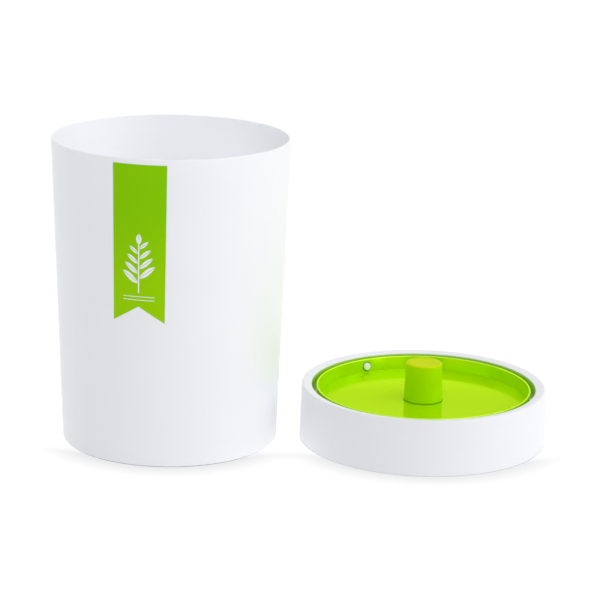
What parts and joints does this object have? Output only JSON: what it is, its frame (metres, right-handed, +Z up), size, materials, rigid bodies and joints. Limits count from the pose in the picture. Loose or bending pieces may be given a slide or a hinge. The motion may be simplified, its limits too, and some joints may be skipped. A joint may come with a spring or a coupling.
{
  "type": "kitchen waste bin",
  "caption": "Round tapered countertop waste bin with a lift-off ring lid, a swinging dish on pivot pins, a tapered knob and a swallow-tail label.",
  "frame": {"origin": "centre of the bin's base, on the surface that it stands on", "axes": "+Z up, +X from the bin towards the lid that stands beside it, +Y away from the viewer of the label"},
  "size_m": [0.3914, 0.1956, 0.2404],
  "materials": {
    "bin_white": "satin moulded white",
    "lid_white": "satin moulded white",
    "pin_white": "moulded white",
    "dish_green": "glossy moulded lime green",
    "knob_green": "moulded lime green",
    "label_film": "printed film",
    "screw_steel": "zinc-plated"
  },
  "bodies": {
    "bin": {"bin_body": "bin_white", "label": "label_film"},
    "lid": {"lid_ring": "lid_white", "pivot_pin_rear": "pin_white", "pivot_pin_front": "pin_white"},
    "dish": {"swing_dish": "dish_green", "knob": "knob_green", "knob_screw": "screw_steel"}
  },
  "joints": [
    {"name": "lid_lift", "type": "slide", "parent": "bin", "child": "lid", "axis": [0, 0, 1], "range_m": [0, 0.26]},
    {"name": "dish_swing", "type": "hinge", "parent": "lid", "child": "dish", "pos_m": [0.2011, 0.0034, 0.036], "axis": [-0.5225, 0.8526, 0], "continuous": true}
  ]
}
